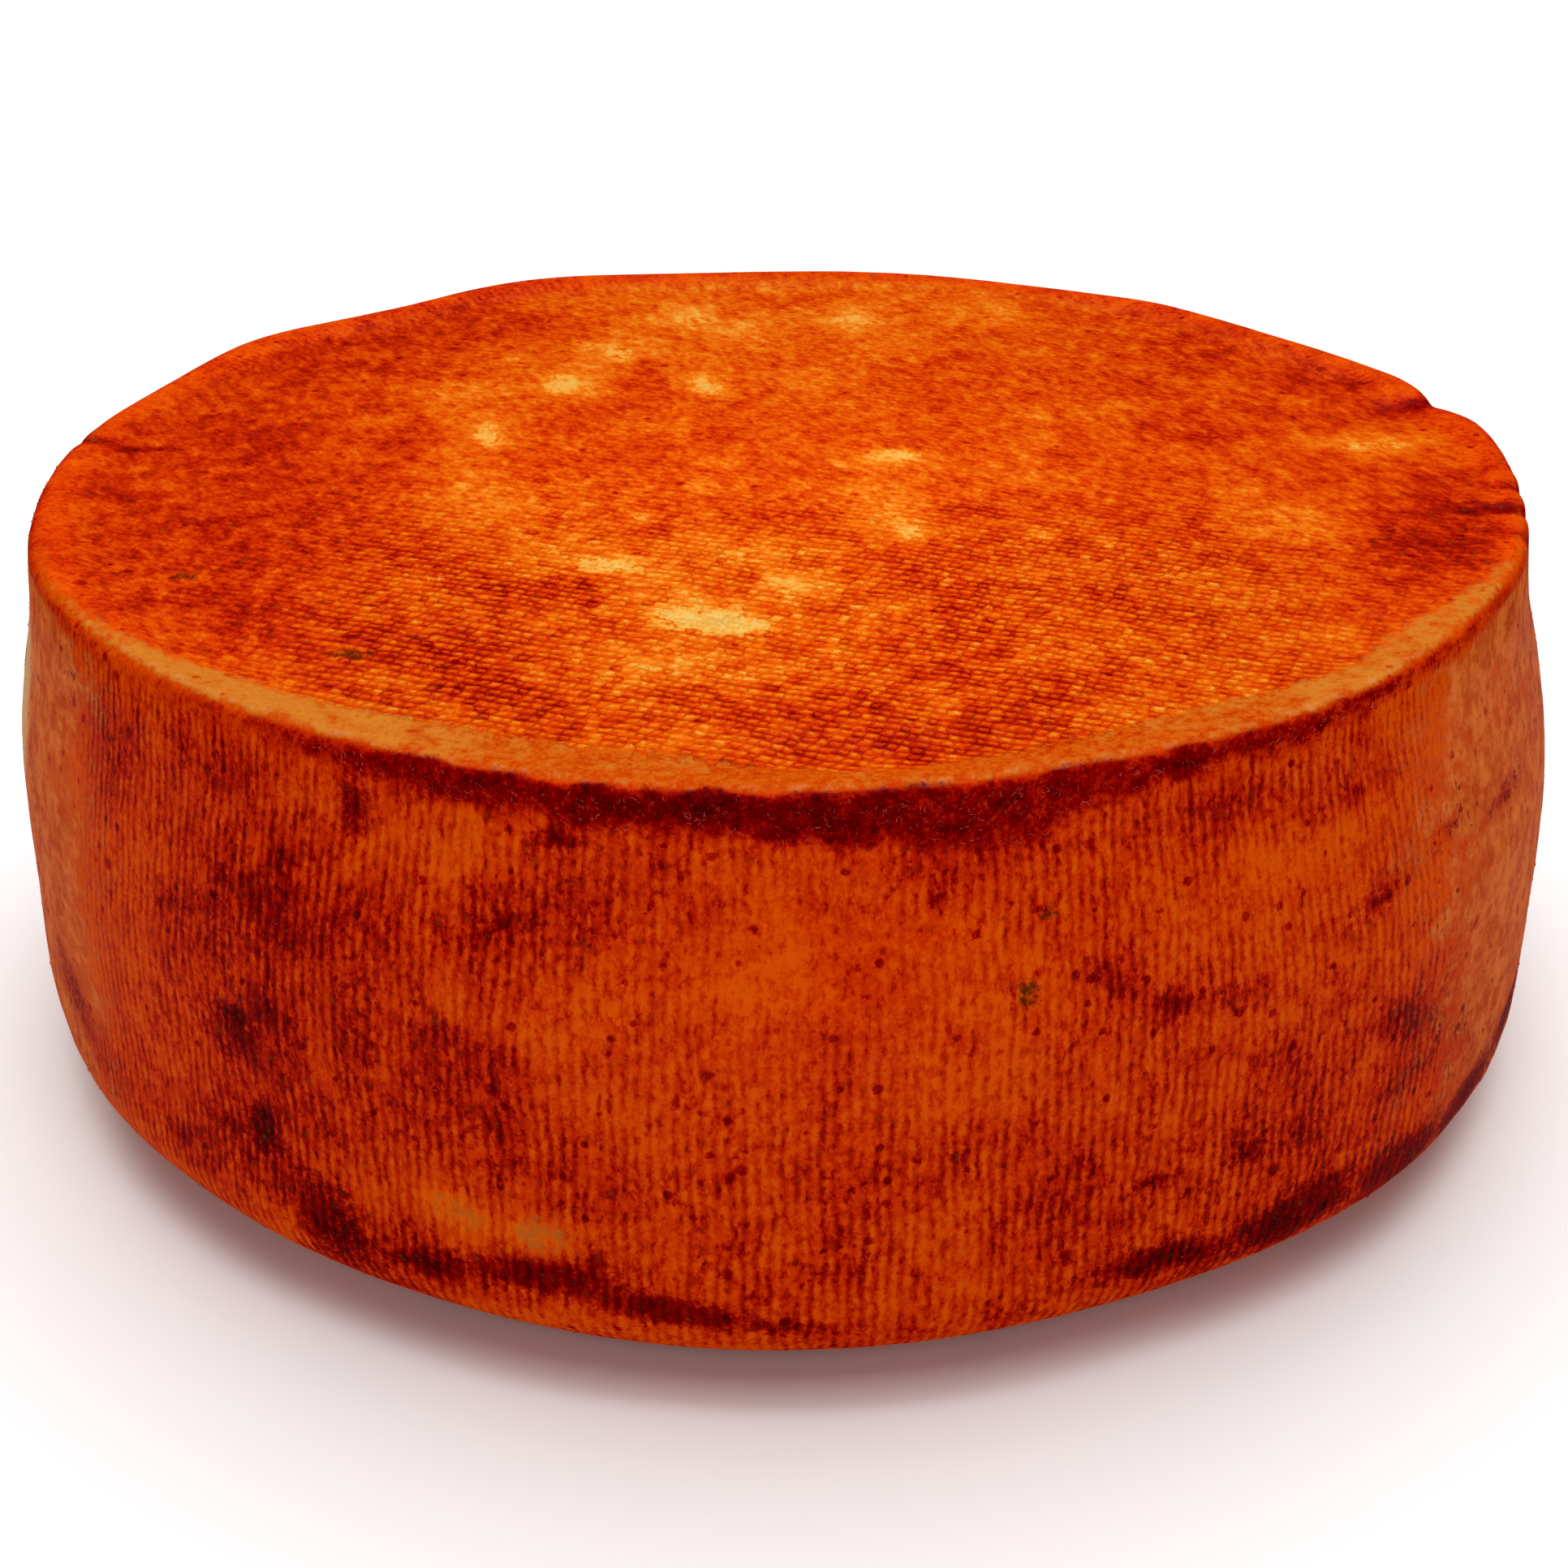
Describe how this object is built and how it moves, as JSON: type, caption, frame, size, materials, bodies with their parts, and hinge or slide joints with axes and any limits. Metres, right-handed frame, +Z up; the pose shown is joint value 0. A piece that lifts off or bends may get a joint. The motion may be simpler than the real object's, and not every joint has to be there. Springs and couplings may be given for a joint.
{
  "type": "cheese wheel",
  "caption": "Whole uncut wheel of pressed cheese: a low round drum with a bulging side, a soft lower corner and a smooth lip round its cloth-printed top.",
  "frame": {"origin": "middle of the underside, where the wheel rests", "axes": "+Z up through the wheel, -Y towards its front"},
  "size_m": [0.1811, 0.181, 0.0674],
  "materials": {
    "rind": "waxy orange rind rubbed with red colouring, semi-gloss, printed with the weave of the cheese cloth"
  },
  "bodies": {
    "root": {"cheese_wheel": "rind"}
  },
  "joints": []
}
